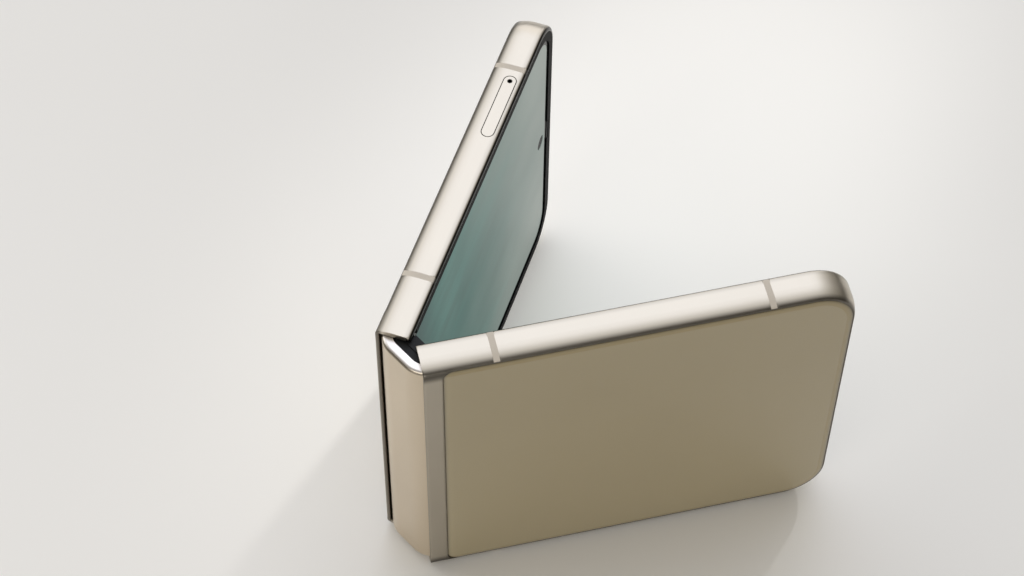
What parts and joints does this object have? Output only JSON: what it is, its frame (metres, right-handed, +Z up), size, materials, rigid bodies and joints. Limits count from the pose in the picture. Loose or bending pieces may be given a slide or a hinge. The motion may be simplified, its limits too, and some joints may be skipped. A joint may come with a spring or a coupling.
{
  "type": "foldable smartphone",
  "caption": "Clamshell phone with a bending display, standing on its long side with its halves part-way open.",
  "frame": {"origin": "centre of the outer box at its bottom, where the long side rests", "axes": "+Z up along the fold line, +Y from the hinge toward the open side, +X toward the lower half"},
  "size_m": [0.0927, 0.0762, 0.0725],
  "materials": {
    "champagne_metal": "satin anodised",
    "cover_metal": "satin anodised",
    "cream_glass": "glossy glass over cream ink",
    "band_plastic": "matte",
    "black_glass": "glossy",
    "display_film": "glossy film",
    "black_rubber": "soft matte",
    "black_plastic": "matte",
    "hinge_steel": "fine ground",
    "thin_steel": "rolled",
    "battery_foil": "foil",
    "board": "solder mask",
    "copper": "bare copper",
    "ferrite": "matte",
    "lens_glass": "coated",
    "flash_plastic": "clear",
    "card_plastic": "matte"
  },
  "bodies": {
    "hinge_spine": {"hinge_cover": "cover_metal", "hinge_end_caps": "black_plastic", "hinge_guide_blocks": "hinge_steel", "gear_carrier": "hinge_steel", "gear_pins": "hinge_steel", "friction_discs": "hinge_steel", "hinge_screws": "hinge_steel", "display_fold": "display_film", "hinge_flex": "copper"},
    "lower_half": {"lower_frame": "champagne_metal", "lower_antenna_bands": "band_plastic", "lower_back_glass": "cream_glass", "lower_bezel": "black_rubber", "lower_display": "display_film", "lower_display_plate": "thin_steel", "lower_hinge_brackets": "hinge_steel", "lower_screws": "hinge_steel", "lower_battery": "battery_foil", "charging_coil": "copper", "coil_shield": "ferrite", "sub_board": "board", "usb_port": "thin_steel", "usb_tongue": "black_plastic", "loudspeaker": "black_plastic", "haptic_motor": "thin_steel", "microphone": "thin_steel", "lower_antenna_cover": "black_plastic"},
    "upper_half": {"upper_frame": "champagne_metal", "upper_antenna_bands": "band_plastic", "upper_back_glass": "cream_glass", "cover_glass": "black_glass", "cover_display": "display_film", "camera_rings": "champagne_metal", "camera_lenses": "lens_glass", "camera_modules": "black_plastic", "flash_lens": "flash_plastic", "upper_bezel": "black_rubber", "upper_display": "display_film", "upper_display_plate": "thin_steel", "upper_hinge_brackets": "hinge_steel", "upper_screws": "hinge_steel", "upper_battery": "battery_foil", "main_board": "board", "board_shields": "thin_steel", "front_camera": "black_plastic", "earpiece": "black_plastic", "earpiece_mesh": "black_plastic", "card_reader": "thin_steel", "key_switches": "thin_steel", "upper_antenna_cover": "black_plastic"},
    "lower_sync_arm": {"lower_sync_arm": "hinge_steel"},
    "upper_sync_arm": {"upper_sync_arm": "hinge_steel"},
    "lower_idler_gear": {"lower_idler_gear": "hinge_steel"},
    "upper_idler_gear": {"upper_idler_gear": "hinge_steel"},
    "card_tray": {"sim_tray": "champagne_metal", "sim_card": "card_plastic"},
    "power_key": {"power_key": "champagne_metal"},
    "volume_rocker": {"volume_rocker": "champagne_metal"}
  },
  "joints": [
    {"name": "lower_fold", "type": "hinge", "parent": "hinge_spine", "child": "lower_half", "pos_m": [0.00215, -0.03256, 0.036], "axis": [0, 0, 1], "range_deg": [-61, 29], "deforming": ["display_fold", "hinge_flex"]},
    {"name": "upper_fold", "type": "hinge", "parent": "hinge_spine", "child": "upper_half", "pos_m": [-0.00215, -0.03256, 0.036], "axis": [0, 0, 1], "range_deg": [-29, 61], "deforming": ["display_fold", "hinge_flex"]},
    {"name": "lower_arm_turn", "type": "hinge", "parent": "hinge_spine", "child": "lower_sync_arm", "pos_m": [0.00386, -0.03504, 0.036], "axis": [0, 0, 1], "range_deg": [-61.01, 29.01]},
    {"name": "upper_arm_turn", "type": "hinge", "parent": "hinge_spine", "child": "upper_sync_arm", "pos_m": [-0.00386, -0.03504, 0.036], "axis": [0, 0, 1], "range_deg": [-29.01, 61.01]},
    {"name": "lower_idler_turn", "type": "hinge", "parent": "hinge_spine", "child": "lower_idler_gear", "pos_m": [0.0012, -0.03551, 0.036], "axis": [0, 0, 1], "range_deg": [-36.26, 76.26]},
    {"name": "upper_idler_turn", "type": "hinge", "parent": "hinge_spine", "child": "upper_idler_gear", "pos_m": [-0.0012, -0.03551, 0.036], "axis": [0, 0, 1], "range_deg": [-76.26, 36.26]},
    {"name": "card_tray_slide", "type": "slide", "parent": "upper_half", "child": "card_tray", "axis": [0, 0, 1], "range_m": [0, 0.018]},
    {"name": "power_key_press", "type": "slide", "parent": "upper_half", "child": "power_key", "axis": [0, 0, 1], "range_m": [0, 0.00025], "stiffness_N_per_m": 2500, "springref_m": -0.0006},
    {"name": "volume_rocker_press", "type": "slide", "parent": "upper_half", "child": "volume_rocker", "axis": [0, 0, 1], "range_m": [0, 0.00025], "stiffness_N_per_m": 2500, "springref_m": -0.0006}
  ],
  "couplings": [
    {"joint": "upper_fold", "follows": "lower_fold", "ratio": -1},
    {"joint": "lower_arm_turn", "follows": "lower_fold", "ratio": 1},
    {"joint": "upper_arm_turn", "follows": "lower_fold", "ratio": -1},
    {"joint": "lower_idler_turn", "follows": "lower_fold", "ratio": -1.25},
    {"joint": "upper_idler_turn", "follows": "lower_fold", "ratio": 1.25}
  ]
}
